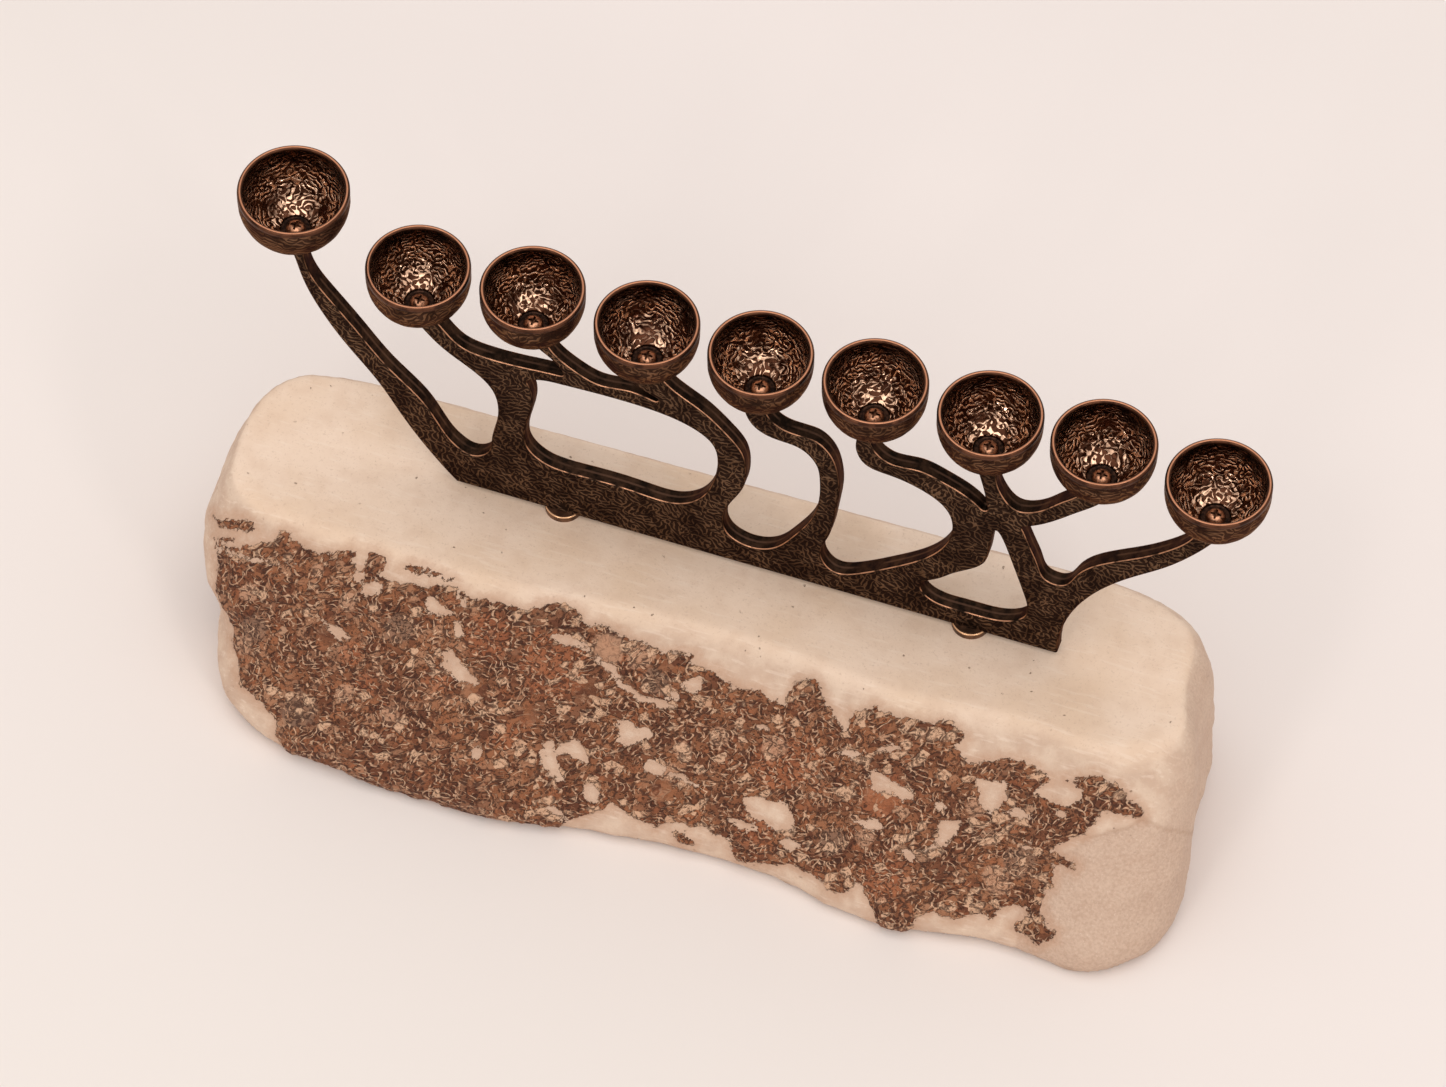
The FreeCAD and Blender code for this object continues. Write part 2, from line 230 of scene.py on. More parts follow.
def cast_bronze(name, mid_y):
    """Flat faces with worm-like relief, smooth dark flanks, copper on the edges: worn, and a
    painted highlight where they face up.
    """
    f = Finish(name)
    x, y, z = f.split(f.place)
    ny, nz = f.facing("YZ")
    broad = abs(ny).ramp(0.86, 0.97)
    flat = f.node("CombineXYZ", inputs=(x, z, 0.0))
    ridges = f.tangle(*frame_lines, flat) * broad
    tone = f.noise(9 * MM, 3.0)
    grain = f.noise(0.9 * MM, 2.0)
    ground = f.mix(tone.ramp(0.35, 0.65), paint(22, 16, 12), paint(42, 32, 26))
    crest = f.mix(tone.ramp(0.36, 0.64), paint(72, 55, 43), paint(116, 92, 73))
    colour = f.mix(ridges, ground, crest)
    blotch = f.noise(5 * MM, 4.0, roughness=0.65).ramp(0.36, 0.66)
    flank = f.mix(blotch, paint(20, 14, 10), paint(60, 42, 31))
    colour = f.mix(1 - broad, colour, flank)
    seam = abs(y - mid_y).ramp(0.7 * MM, 0.2 * MM) * (1 - broad)
    seam = seam * f.noise(11 * MM, 2.0).ramp(0.35, 0.5)
    colour = f.mix(seam * 0.4, colour, paint(116, 86, 70))
    rounded = abs(ny).ramp(0.46, 0.60) * abs(ny).ramp(0.90, 0.80)
    # Copper on the rounded edges: wear and a painted highlight on those that face up, a little
    # wear only on those that face down.
    wear_and_highlight = rounded * nz.ramp(0.0, 0.35) * f.noise(6 * MM, 3.0).ramp(0.32, 0.55)
    rubbed = rounded * (nz * -1).ramp(-0.3, 0.2) * f.noise(4 * MM, 3.0).ramp(0.47, 0.62) * 0.3
    wear_and_highlight = wear_and_highlight.most(rubbed).least(1.0)
    colour = f.mix(wear_and_highlight * 0.9, colour, paint(204, 150, 116))
    height = ridges * 0.9 + grain * 0.15 + f.noise(3 * MM, 3.0) * 0.2
    return f.surface(
        Base_Color=colour,
        Metallic=0.85 + wear_and_highlight * 0.1,
        Specular_Tint=edge_tint,
        Roughness=0.50 - wear_and_highlight * 0.14 - ridges * 0.10,
        Normal=f.bump(height, frame_relief))


def bowl_outside():
    """The same worm-like relief as the frame, a little redder."""
    f = Finish("bowl_outside")
    lines = f.loops(*outside_lines, f.bent(4 * MM, 0.8 * MM), "3D")
    tone = f.noise(8 * MM, 3.0)
    ground = f.mix(tone.ramp(0.35, 0.65), paint(38, 26, 20), paint(64, 45, 36))
    crest = f.mix(tone.ramp(0.4, 0.62), paint(92, 66, 48), paint(134, 100, 76))
    colour = f.mix(lines * tone.ramp(0.32, 0.50) * 0.8, ground, crest)
    height = lines * 0.9 + f.noise(1.0 * MM, 2.0) * 0.3
    return f.surface(Base_Color=colour, Metallic=0.85, Specular_Tint=edge_tint,
                     Roughness=0.46 - lines * 0.08, Normal=f.bump(height, outside_relief))


def bowl_inside():
    """Hammered copper, with painted shade up on the wall and a painted highlight down in the
    middle.
    """
    f = Finish("bowl_inside")
    deep = f.node("Attribute", {"attribute_name": "deep"}, output="Fac")
    lines = f.loops(*inside_lines, f.bent(3 * MM, 0.8 * MM), "3D")
    dents = f.cells(1.7 * MM, place=f.bent(2.2 * MM, 0.4 * MM))
    tone = f.noise(7 * MM, 3.0)
    # Painted shade and highlight by depth: dark up on the wall, bright down in the middle.
    down = deep.ramp(0.12, 0.62)
    ground = f.mix(down, paint(26, 13, 8), paint(74, 44, 30))
    ground = f.mix(tone.ramp(0.40, 0.65) * 0.5, ground, paint(50, 28, 18))
    high = f.mix(down, paint(126, 80, 55), paint(246, 204, 172))
    crest = f.mix(tone.ramp(0.30, 0.55), ground, high)
    colour = f.mix(lines, ground, crest)
    height = lines * 0.8 + dents * 0.8 + f.noise(0.8 * MM, 2.0) * 0.2
    return f.surface(Base_Color=colour, Metallic=0.97, Roughness=0.21 - lines * 0.04,
                     Normal=f.bump(height, inside_relief))


def spot_face():
    """The turned ring round a screw's head, dark with painted shade in its recess."""
    f = Finish("spot_face")
    tone = f.noise(1.2 * MM, 3.0)
    # Painted shade: the ring's colour is kept dark for the recess round the head.
    colour = f.mix(tone.ramp(0.35, 0.7), paint(28, 17, 12), paint(70, 46, 34))
    return f.surface(Base_Color=colour, Metallic=0.9, Roughness=0.42,
                     Normal=f.bump(tone, spot_relief))


def rim_copper():
    """Copper with a painted highlight along the upward-facing crest of the bead, stained dark down
    its sides.
    """
    f = Finish("rim_copper")
    [nz] = f.facing("Z")
    stain = f.noise(6 * MM, 4.0)
    scratch = f.noise(0.35 * MM, 2.0)
    # Painted highlight: where the bead faces up it is made bright.
    crest = (nz + (stain - 0.5) * 0.06).ramp(0.93, 0.985)
    colour = f.mix(stain.ramp(0.42, 0.62), paint(92, 60, 44), paint(58, 37, 28))
    colour = f.mix(crest, colour, paint(206, 146, 112))
    return f.surface(Base_Color=colour, Metallic=1.0,
                     Roughness=0.36 - crest * 0.08 + scratch * 0.05,
                     Normal=f.bump(scratch + f.noise(2.4 * MM, 2.0) * 2, rim_relief))


def screw_copper():
    """A dome with a lighter ring on its slope, dark edges and a dark recess."""
    f = Finish("screw_copper")
    [nz] = f.facing("Z")
    tone = f.noise(1.6 * MM, 3.0)
    crest = nz.ramp(0.60, 0.86) * nz.ramp(0.999, 0.97)
    colour = f.mix(tone.ramp(0.4, 0.65), paint(112, 74, 54), paint(74, 47, 34))
    colour = f.mix(crest * tone.ramp(0.70, 0.42), colour, paint(216, 160, 126))
    return f.surface(Base_Color=colour, Metallic=0.95, Roughness=0.36,
                     Normal=f.bump(tone, screw_relief))


def spacer_bronze():
    """Brown bronze with a painted highlight on the rounded edge."""
    f = Finish("spacer_painted_highlight")
    [nz] = f.facing("Z")
    # Painted highlight on the rounded edge where it faces up.
    edge = nz.ramp(0.25, 0.6) * nz.ramp(0.97, 0.85)
    tone = f.noise(4 * MM, 4.0)
    colour = f.mix(tone.ramp(0.35, 0.65), paint(88, 66, 52), paint(132, 100, 78))
    colour = f.mix(edge, colour, paint(226, 178, 136))
    return f.surface(Base_Color=colour, Metallic=0.9, Roughness=0.42 - edge * 0.15,
                     Normal=f.bump(f.noise(0.6 * MM, 2.0), spacer_relief))


def zinc_steel():
    """Grey plating for the fasteners under the block."""
    f = Finish("zinc_plate")
    tone = f.noise(3 * MM, 4.0)
    colour = f.mix(tone.ramp(0.3, 0.7), paint(176, 179, 183), paint(204, 205, 206))
    return f.surface(Base_Color=colour, Metallic=1.0, Roughness=0.34 + tone * 0.12,
                     Normal=f.bump(f.noise(0.5 * MM, 3.0), zinc_relief))


def pressed_felt():
    """Brown felt with short fibres."""
    f = Finish("pressed_felt")
    fibre = f.noise(0.5 * MM, 5.0, f.bent(2 * MM, 1 * MM), roughness=0.7)
    colour = f.mix(fibre.ramp(0.3, 0.7), paint(60, 50, 44), paint(104, 90, 80))
    return f.surface(Base_Color=colour, Roughness=0.95, Normal=f.bump(fibre, felt_relief))


def limestone():
    """Cream stone with a brown crust where the crust attribute is above zero."""
    f = Finish("limestone")
    x, y, z = f.split(f.place)

    def attribute(name):
        return f.node("Attribute", {"attribute_name": name}, output="Fac")

    def zone(name):
        """How much the place belongs to one of the crust's zones, with a frayed edge."""
        return (attribute(name) + (f.noise(3 * MM, 3.0) - 0.5) * 1.1).ramp(0.35, 0.75)

    crust_depth, honed = attribute("crust"), attribute("honed")
    rough, ledge_shade = attribute("rough"), attribute("ledge_shade")
    cloud = f.noise(46 * MM, 5.0)
    veil = f.noise(9 * MM, 4.0)
    cream = f.mix(cloud.ramp(0.35, 0.68), paint(241, 215, 193), paint(232, 202, 175))
    cream = f.mix(veil.ramp(0.40, 0.75) * 0.4, cream, paint(222, 190, 164))
    split_face = f.mix(veil.ramp(0.35, 0.65), paint(217, 191, 169), paint(201, 171, 149))
    cream = f.mix((1 - honed) * 0.9, cream, split_face)
    speckle = f.noise(1.1 * MM, 3.0, roughness=0.7).ramp(0.55, 0.72)
    cream = f.mix(speckle * 0.4, cream, paint(200, 168, 142))
    streak = f.node("Mapping", inputs={"Vector": f.place, "Scale": scratches})
    streak = f.node("TexNoise", inputs={"Vector": streak, "Scale": 1.0, "Detail": 2.0})
    cream = f.mix(streak.ramp(0.56, 0.70) * 0.25, cream, paint(248, 228, 210))
    sand = f.noise(1.3 * MM, 4.0).ramp(0.32, 0.70)
    greyish = f.mix(sand, paint(206, 177, 156), paint(190, 160, 139))
    fleck = f.noise(0.9 * MM, 2.0, roughness=0.7).ramp(0.60, 0.70)
    greyish = f.mix(fleck * 0.5, greyish, paint(228, 204, 186))
    cream = f.mix(rough * 0.85, cream, greyish)
    # Painted shade along the ledge over the rough end.
    cream = f.mix(ledge_shade * 0.4, cream, paint(170, 136, 112))
    pits = f.cells(6 * MM, place=f.bent(5 * MM, 2 * MM)).ramp(0.085, 0.04)
    pits = pits * f.noise(30 * MM, 1.0).ramp(0.45, 0.6)
    cream = f.mix(pits * 0.6, cream, paint(160, 126, 98))

    flat = f.node("CombineXYZ", inputs=(x * 0.95 - y * 0.6, z * 0.9 + y * 0.5, 0.0))
    grain_place = f.bent(2.6 * MM, 0.9 * MM, flat)
    grain = f.grains(crust_grain, grain_place)
    seam = f.cells(crust_grain, "DISTANCE_TO_EDGE", grain_place)
    broken = f.noise(3.2 * MM, 2.0, f.moved(f.place, (0.7, 0.2, 0.4)))
    small = f.noise(1.6 * MM, 3.0, roughness=0.6)
    patch = f.noise(22 * MM, 3.0)
    tint = f.noise(7 * MM, 3.0, f.moved(f.place, (0.4, 0.2, 0.7)))
    right = x.ramp(-110 * MM, -40 * MM)
    smooth = zone("smooth")
    brown = f.mix(grain.ramp(0.0, 0.5), paint(98, 54, 32), paint(146, 92, 60))
    brown = f.mix(grain.ramp(0.55, 0.85) * (1 - right * 0.4), brown, paint(168, 120, 90))
    brown = f.mix(patch.ramp(0.55, 0.42) * 0.5, brown, paint(88, 46, 27))
    brown = f.mix(tint.ramp(0.54, 0.66) * 0.5, brown, paint(164, 98, 62))
    brown = f.mix(zone("red") * 0.5, brown, paint(170, 100, 64))
    brown = f.mix(zone("grey") * 0.6, brown, paint(140, 110, 90))
    brown = f.mix(zone("pale") * 0.7, brown, paint(196, 150, 120))
    brown = f.mix((grain + right * 0.10).ramp(0.93, 0.96) * 0.85, brown, paint(214, 172, 140))
    # Painted shade in the crust's crevices, between its grains and in small hollows.
    shaded_crevices = seam.ramp(0.12, 0.03) * broken.ramp(0.35, 0.50)
    shaded_crevices = shaded_crevices.most(small.ramp(0.45, 0.34)) * (1 - smooth * 0.7)
    brown = f.mix(shaded_crevices * 0.8, brown, paint(56, 28, 16))
    lines = f.tangle(*crust_worms, f.bent(5 * MM, 1.2 * MM, flat))
    lines = lines * broken.ramp(0.36, 0.50) * (1 - smooth * 0.7)
    line_colour = f.mix(broken.ramp(0.42, 0.62), paint(166, 112, 80), paint(226, 182, 148))
    brown = f.mix(lines * 0.75, brown, line_colour)

    fray = (f.noise(2.8 * MM, 5.0, roughness=0.72) - 0.5) * edge_fray
    ragged = crust_depth + fray + (grain - 0.5) * grain_fray
    crusted = ragged.ramp(-0.10, 0.20)
    stain = ragged.ramp(-stain_reach, 0.0) * (1 - crusted)
    colour = f.mix(stain * 0.5, cream, paint(184, 138, 108))
    colour = f.mix(crusted, colour, brown)

    ground = f.noise(2.2 * MM, 5.0, roughness=0.6)
    height = (ground * (0.12 + (1 - honed) * 0.4 + rough * 0.25) - pits
              + crusted * (0.7 + lines * 0.7 - shaded_crevices * 0.5 + small * 0.6))
    return f.surface(
        Base_Color=colour,
        Specular_IOR_Level=0.3,
        Roughness=0.66 - honed * 0.14 - crusted * lines * 0.14,
        Normal=f.bump(height, stone_relief))


# Shapes

# Corners that lie nearer than this are one.
weld = 0.001 * MM


def piece(bm, name, *materials):
    """Closes a bmesh into an object of its own in the scene."""
    mesh = bpy.data.meshes.new(name)
    bm.to_mesh(mesh)
    bm.free()
    made = bpy.data.objects.new(name, mesh)
    bpy.context.scene.collection.objects.link(made)
    for material in materials:
        mesh.materials.append(material)
    mesh.polygons.foreach_set("use_smooth", [True] * len(mesh.polygons))
    return made


class Pen:
    """Draws a line in the XZ plane, to be turned about the Z axis."""

    def __init__(self, x, z):
        self.bm = bmesh.new()
        self.tip = self.bm.verts.new((x, 0, z))

    def line(self, x, z, steps):
        """Draws straight on to the point x, z."""
        start = self.tip.co.copy()
        for step in range(1, steps + 1):
            grown = bmesh.ops.extrude_vert_indiv(self.bm, verts=[self.tip])
            self.tip = grown["verts"][0]
            self.tip.co = start.lerp((x, 0, z), step / steps)

    def arc(self, x, z, degrees, steps):
        """Turns about the point x, z; positive turns from +Z towards +X."""
        turned = bmesh.ops.spin(self.bm, geom=[self.tip], cent=(x, 0, z), axis=(0, 1, 0),
                                angle=math.radians(degrees), steps=steps)
        self.tip = [v for v in turned["geom_last"] if isinstance(v, bmesh.types.BMVert)][0]

    def turn(self, steps):
        """Turns the line full circle about Z into a closed skin."""
        bmesh.ops.remove_doubles(self.bm, verts=self.bm.verts, dist=weld)
        bmesh.ops.spin(self.bm, geom=self.bm.verts[:] + self.bm.edges[:], axis=(0, 0, 1),
                       angle=math.tau, steps=steps, use_merge=True)
        bmesh.ops.remove_doubles(self.bm, verts=self.bm.verts, dist=weld)
        bmesh.ops.recalc_face_normals(self.bm, faces=self.bm.faces)
        return self.bm


# The bowls, as the solids have them.
bowl_wall = 1.8 * MM
bowl_collar = 5.8 * MM
bowl_floor = 1.4 * MM
bowl_foot = 5.0 * MM
spot_face_radius = 6.2 * MM
bead = 1.1 * MM
screw_hole = 2.25 * MM
bowl_facets = 144
# Down to here a bowl has the rim's finish, and from there the working of its surface sets in.
rim_end = 1.7 * bead
work_start = 2.2 * bead
work_sets_in = 2 * MM
# The working stays clear of the spot face, and sets in over this way from there.
spot_margin = 0.3 * MM
spot_blend = 1.5 * MM
# The spot face's finish ends this far over the foot.
hair = 0.2 * MM
# In millimetres: the dents inside, the smaller ones between them, and the lumps outside, which
# sink the surface on the whole.
dent_size, dent_height = 2.6, 0.22
small_dent_size, small_dent_height = 1.5, 0.12
lump_size, lump_height, lump_sink = 3.2, 0.10, 0.06
# How far from one bowl to the next its pattern is taken, so that no two are alike.
seed_step = (37.0, 11.0)
OUTSIDE, INSIDE, RIM, SPOT = range(4)


def held(share):
    """A share held between 0 and 1."""
    return min(1, max(0, share))


def make_bowl(node, seed, materials):
    """One bowl in its node's place: beaded rim, worm relief outside, hammered inside."""
    low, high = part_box(node)
    radius = (high.x - low.x) / 2
    inner = radius - bowl_wall
    foot = bowl_collar + math.sqrt(radius ** 2 - bowl_foot ** 2)
    floor = foot - bowl_floor
    pen = Pen(screw_hole, -foot)
    pen.line(bowl_foot, -foot, steps=3)
    pen.arc(0, -bowl_collar, math.degrees(math.asin(bowl_foot / radius)) - 90, steps=40)
    pen.line(radius, -bead, steps=6)
    pen.arc(radius - bead, -bead, -180, steps=12)
    pen.line(inner, -2 * bead, steps=2)
    pen.line(inner, -bowl_collar, steps=6)
    pen.arc(0, -bowl_collar, 90 - math.degrees(math.asin(spot_face_radius / inner)), steps=44)
    pen.line(spot_face_radius, -floor, steps=2)
    pen.line(screw_hole, -floor, steps=4)
    pen.line(screw_hole, -foot, steps=2)
    bm = pen.turn(bowl_facets)

    def faces_in(place, normal):
        """Whether a place on the skin belongs to the bowl's inside."""
        outwards = Vector((place.x, place.y, min(place.z + bowl_collar, 0)))
        return normal.dot(outwards) < 0

    for face in bm.faces:
        centre = face.calc_center_median()
        across = math.hypot(centre.x, centre.y)
        if centre.z > -rim_end:
            face.material_index = RIM
        elif across < spot_face_radius and centre.z > -foot + hair:
            face.material_index = SPOT
        else:
            face.material_index = INSIDE if faces_in(centre, face.normal) else OUTSIDE
    # How deep each point lies, which the inside's finish uses for its painted shade and highlight.
    deep = bm.verts.layers.float.new("deep")
    moves = {}
    for v in bm.verts:
        v[deep] = -v.co.z / floor
        across = math.hypot(v.co.x, v.co.y)
        depth = held((-v.co.z - work_start) / work_sets_in)
        clear = held((across - spot_face_radius - spot_margin) / spot_blend)
        p = v.co * MM_PER_METRE + Vector((seed * seed_step[0], seed * seed_step[1], 0))
        if faces_in(v.co, v.normal):
            rise = (noise.noise(p / dent_size) * dent_height
                    + noise.noise(p / small_dent_size) * small_dent_height)
        else:
            rise = noise.noise(p / lump_size) * lump_height - lump_sink
        moves[v] = v.normal * rise * MM * depth * clear
    for v, move in moves.items():
        v.co += move
    axis = ((low.x + high.x) / 2, (low.y + high.y) / 2, high.z)
    bmesh.ops.translate(bm, verts=bm.verts, vec=axis)
    made = piece(bm, node.replace("_bowl", "_hammered_bowl"), *materials)
    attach(made, "root")
    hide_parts(node)


# The crust on the block's front, drawn in millimetres as it is seen by someone who looks down on
# it from the right: across and up, from the foot of the middle bowl's axis. Inside an odd
# number of these lines there is crust. The first is its edge, the next four are islands of it, and
# the others are bare patches.
crust_lines = [
    [(-221.5, 53.5), (-211, 52), (-201.5, 53.5), (-196.5, 54.5), (-193.5, 59), (-190.5, 58),
     (-188.5, 54.5), (-183, 52), (-178, 50.5), (-170, 50.5), (-165, 52.5), (-163, 50.5),
     (-164.5, 45), (-163.5, 38.5), (-160, 38.5), (-160, 43), (-158, 51), (-153.5, 50),
     (-151, 47.5), (-153, 41.5), (-149, 39), (-143.5, 37.5), (-138.5, 38.5), (-135, 36.5),
     (-128, 38.5), (-123.5, 36.5), (-118.5, 34.5), (-115, 32), (-108, 32), (-103, 31),
     (-94.5, 27.5), (-85, 30.5), (-79, 31.5), (-73.5, 28.5), (-69, 23), (-67.5, 21.5), (-63, 23),
     (-58.5, 21), (-50.5, 16.5), (-42.5, 14), (-38, 11.5), (-25, 11), (-27, 8), (-23.5, 5.5),
     (-17, 4), (-10, -1), (-6.5, -3), (-0.5, -2.5), (5.5, -6.5), (12, -9), (13.5, -4), (15.5, 0),
     (22, 2), (25.5, 0), (27, -5.5), (30.5, -11), (34, -15.5), (36, -19.5), (38, -15),
     (39.5, -11.5), (44.5, -10), (49, -8.5), (50.5, -11.5), (58.5, -13.5), (66.5, -14.5),
     (72.5, -15), (76.5, -14), (80.5, -16.5), (84, -21), (83, -23), (78, -23.5), (83, -28),
     (86, -31.5), (92, -30.5), (99.5, -29.5), (105.5, -30), (112, -32.5), (118.5, -38),
     (114.5, -40), (112.5, -42.5), (116.5, -45), (121.5, -46.5), (126.5, -47.5), (130, -45),
     (131, -41), (124.5, -37.5), (130.5, -36.5), (134, -35.5), (138.5, -35.5), (141.5, -37.5),
     (144.5, -38.5), (147, -41.5), (149, -44.5), (152.5, -46.5), (156, -49.5), (155, -52),
     (150, -51), (145, -51), (142, -49.5), (139, -49.5), (137.5, -52), (135, -55.5), (132, -59),
     (128.5, -60), (123, -63), (118.5, -66), (123, -68), (128, -71), (128.5, -73.5), (123, -72),
     (119, -71), (120.5, -75), (120, -80.5), (116.5, -83), (115.5, -86.5), (114.5, -91.5),
     (118, -96.5), (121.5, -99.5), (120, -103), (115.5, -105), (109.5, -101.5), (104, -98),
     (108, -95.5), (111, -93.5), (109.5, -90), (105, -88.5), (99.5, -90.5), (96, -95.5),
     (93.5, -92), (89.5, -93), (82, -95), (77, -94), (72.5, -92), (65.5, -95), (64, -100),
     (57, -101.5), (51.5, -99), (48, -92.5), (45.5, -86.5), (43.5, -81.5), (41.5, -79.5),
     (39, -84.5), (35, -85.5), (30.5, -84.5), (27, -80), (23.5, -77.5), (19, -76.5), (15, -74),
     (9, -75), (4.5, -74), (-2.5, -74.5), (-7, -73), (-9.5, -69), (-10, -64.5), (-16.5, -62.5),
     (-19, -60.5), (-23, -58.5), (-26, -59.5), (-30, -57), (-35, -58), (-40.5, -60), (-46.5, -58),
     (-53.5, -53.5), (-59, -49.5), (-61.5, -53), (-67, -55), (-71, -57), (-76, -58.5),
     (-79.5, -61), (-88.5, -63), (-102.5, -63), (-113.5, -61), (-120.5, -58), (-128.5, -55.5),
     (-137, -53.5), (-145.5, -50.5), (-153.5, -48), (-162, -46), (-170, -44), (-178.5, -41.5),
     (-185, -38.5), (-191, -34), (-194, -30), (-197, -25), (-196, -19.5), (-199, -15.5),
     (-203, -10.5), (-207, -7), (-210.5, -4), (-212, 2), (-212.5, 6), (-215, 11), (-215.5, 15),
     (-214.5, 18), (-216, 21.5), (-217, 25), (-219, 30.5), (-220.5, 34.5), (-221, 38.5),
     (-220.5, 45), (-221.5, 49.5)],
    [(-223, 65), (-218, 63.5), (-211, 64), (-206, 62), (-205, 59), (-211, 59.5), (-216, 59.5),
     (-220.5, 60.5)],
    [(-223.5, 56.5), (-219, 56), (-214.5, 56), (-215.5, 55), (-220.5, 54)],
    [(-145.5, 44.5), (-141, 46), (-135, 44.5), (-128.5, 42.5), (-123.5, 40.5), (-125.5, 39),
     (-132, 42), (-139, 42.5)],
    [(-33.5, -62.5), (-29.5, -62), (-25, -65.5), (-24.5, -67.5), (-28.5, -67), (-32, -65)],
    [(-160, 37.5), (-155.5, 40), (-152, 37.5), (-153, 34.5), (-158, 33.5), (-161, 34.5)],
    [(-222.5, 52.5), (-212.5, 50), (-202, 47.5), (-187.5, 46), (-202, 46), (-213, 47.5)],
    [(-178, 23), (-172, 21), (-165, 16), (-167.5, 14.5), (-174, 17.5)],
    [(-133.5, 33.5), (-130.5, 32.5), (-123, 26), (-132, 25.5), (-134, 28.5)],
    [(-123, 23), (-120, 23), (-119, 18), (-120.5, 14.5), (-122.5, 18.5)],
    [(-121.5, 34.5), (-118, 32), (-117.5, 28), (-120.5, 29.5)],
    [(-128.5, 11), (-123.5, 11.5), (-119, 6), (-111.5, -2.5), (-119.5, -1.5), (-127.5, 4)],
    [(-116.5, -28.5), (-113, -27), (-110.5, -30.5), (-114, -34.5)],
    [(-85, 18), (-78, 18.5), (-68, 15), (-67.5, 12), (-71, 12.5), (-79.5, 14.5)],
    [(-68, 11.5), (-63, 9.5), (-57.5, 5.5), (-52, -1.5), (-46.5, -6), (-39, -7.5), (-32.5, -10),
     (-34, -11.5), (-41, -9.5), (-47.5, -8.5), (-54, -3), (-61, 4.5)],
    [(-30.5, -2), (-26.5, 2), (-21.5, 1.5), (-22, -2.5), (-26.5, -4)],
    [(-36.5, -2.5), (-31, -4.5), (-31, -7), (-35, -6.5)],
    [(-56, -15.5), (-51.5, -16), (-48, -19), (-42.5, -18.5), (-40.5, -22), (-47, -25),
     (-51.5, -26.5), (-55.5, -23.5)],
    [(-86.5, -26.5), (-82.5, -24.5), (-81.5, -31), (-77.5, -41.5), (-83, -40), (-87.5, -34)],
    [(-79.5, -26.5), (-72.5, -24), (-68, -30), (-68.5, -33.5), (-76, -31.5), (-81, -29.5)],
    [(-70.5, -43.5), (-66, -42), (-62.5, -46), (-64, -50.5), (-68.5, -49.5)],
    [(-86.5, -52), (-81, -52), (-77, -57.5), (-82.5, -56.5)],
    [(-46.5, -34), (-42, -32.5), (-35.5, -35), (-38.5, -39), (-44.5, -38)],
    [(-35.5, -37.5), (-29, -38), (-22.5, -43), (-28, -42.5)],
    [(-4.5, -46.5), (2, -46), (6.5, -48.5), (12.5, -49), (16, -55), (16.5, -60.5), (10.5, -60.5),
     (2.5, -57), (-3, -53)],
    [(-10.5, -55.5), (-5, -56.5), (3.5, -60), (-1.5, -60.5), (-8, -59)],
    [(-1.5, -17), (3, -17.5), (6.5, -19.5), (1, -19.5)],
    [(10.5, -63.5), (14.5, -63), (18.5, -66), (15.5, -68.5), (11.5, -67.5)],
    [(32.5, -26), (38, -26), (43, -28), (39, -30)],
    [(47, -27), (53.5, -24.5), (59.5, -25), (54, -27)],
    [(46.5, -35), (51, -35.5), (55.5, -39), (63, -42.5), (64.5, -47), (59.5, -47), (58, -44.5),
     (51.5, -44), (47, -42.5)],
    [(39.5, -55), (48.5, -54), (52.5, -58), (47, -60)],
    [(72, -47.5), (76, -47), (77, -50), (74, -51)],
    [(74.5, -54.5), (83, -54.5), (81.5, -60), (76.5, -65), (67.5, -67), (73, -63.5)],
    [(58.5, -66), (62, -65.5), (66.5, -69.5), (65, -72), (60.5, -70)],
    [(89, -38), (100.5, -38), (102, -43.5), (99, -48.5), (94.5, -52), (90, -46.5)],
    [(100.5, -50.5), (106, -48), (111, -52), (107, -54)],
    [(107.5, -64.5), (111.5, -62.5), (113, -65.5), (110, -67)],
    [(121.5, -48.5), (125.5, -50), (124, -53.5), (121.5, -52)],
]
# Zones of the crust that differ, drawn in the same way: across, up and radius.
crust_zones = {
    "red": [(-165, 10, 5), (-159, -3, 5), (-109, 17, 10), (-82, 6, 14), (10, -33, 11),
            (52, -45, 10), (17, -31, 10), (53, -78, 10), (0, -60, 8), (-130, 0, 6),
            (-101, -23, 6)],
    "pale": [(-168, -7, 4), (-166, 31, 4), (-179, 43, 3), (-210, 12, 4), (-207, 34, 4),
             (-149, -15, 4), (-60, 13, 7), (-47, 11, 6), (-29, -28, 4), (-35, -37, 4), (8, -26, 5),
             (45, -62, 4), (99, -80, 5), (96, -76, 4), (89, -49, 4), (-14, -22, 4)],
    "grey": [(-187, -14, 8), (-145, 20, 6), (107, -71, 7), (95, -61, 4), (66, -19, 3),
             (32, -64, 6), (-41, 0, 6), (-205, 19, 6)],
    "smooth": [(-174, 18, 5), (-93, -15, 5), (-69, -4, 6), (52, -44, 8), (-60, 13, 6),
               (-138, 51, 4), (-38, -45, 5), (-114, -4, 5)],
}
# The rough end of the block below a ledge, drawn in the same way.
rough_end = [(104, -112), (108, -100), (106, -88), (108, -76), (120, -68), (128, -66),
             (134, -60), (138.5, -59.5), (149.5, -56.5), (155.5, -53), (159.5, -54.5), (166, -57),
             (173.5, -58.5), (190.5, -60), (190, -70.5), (186, -84.5), (182, -96.5),
             (172, -110), (156, -122), (134.5, -126), (114, -122)]

# The two directions of those drawings, and the foot of the middle bowl's axis.
view_across = Vector((0.94948, 0.31385, 0.0))
view_up = Vector((-0.26082, 0.78903, 0.55625))
middle_low, middle_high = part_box("light_4_bowl")
row = Vector(((middle_low.x + middle_high.x) / 2, (middle_low.y + middle_high.y) / 2, 0))
# How far from a drawn line its distance is measured, and the strips that the lines are sorted in.
line_reach = 6.0
strip_width = 8.0

